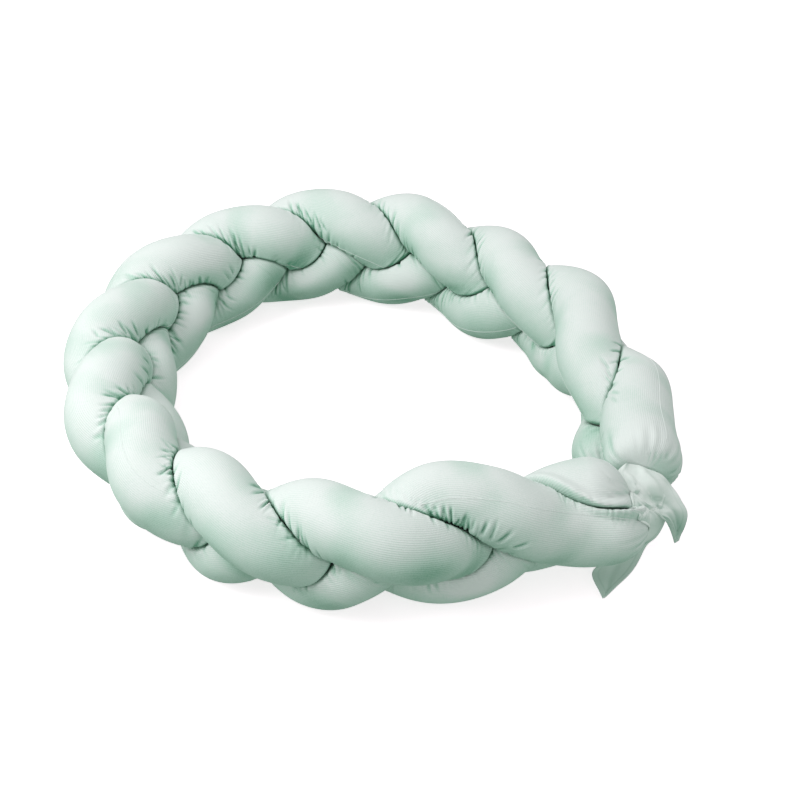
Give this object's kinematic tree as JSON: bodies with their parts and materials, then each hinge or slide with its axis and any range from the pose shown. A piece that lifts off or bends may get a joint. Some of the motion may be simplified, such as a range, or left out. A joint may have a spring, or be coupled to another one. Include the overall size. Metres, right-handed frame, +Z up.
{
  "type": "plaited crib bumper",
  "caption": "Soft plaited crib bumper bent round into a ring, its ends knotted together with broad cotton bands",
  "frame": {"origin": "middle of the ring's box, on the floor", "axes": "+Z up; +X to the right and -Y to the viewer of the picture; the knot lies towards +X and -Y"},
  "size_m": [0.7996, 0.8022, 0.191],
  "materials": {
    "velour": "fine lengthwise rib, soft matt pile",
    "cotton": "smooth plain weave, matt"
  },
  "bodies": {
    "root": {"tube_a": "velour", "tube_b": "velour", "tube_c": "velour", "tie_front": "cotton", "tie_back": "cotton"}
  },
  "joints": []
}
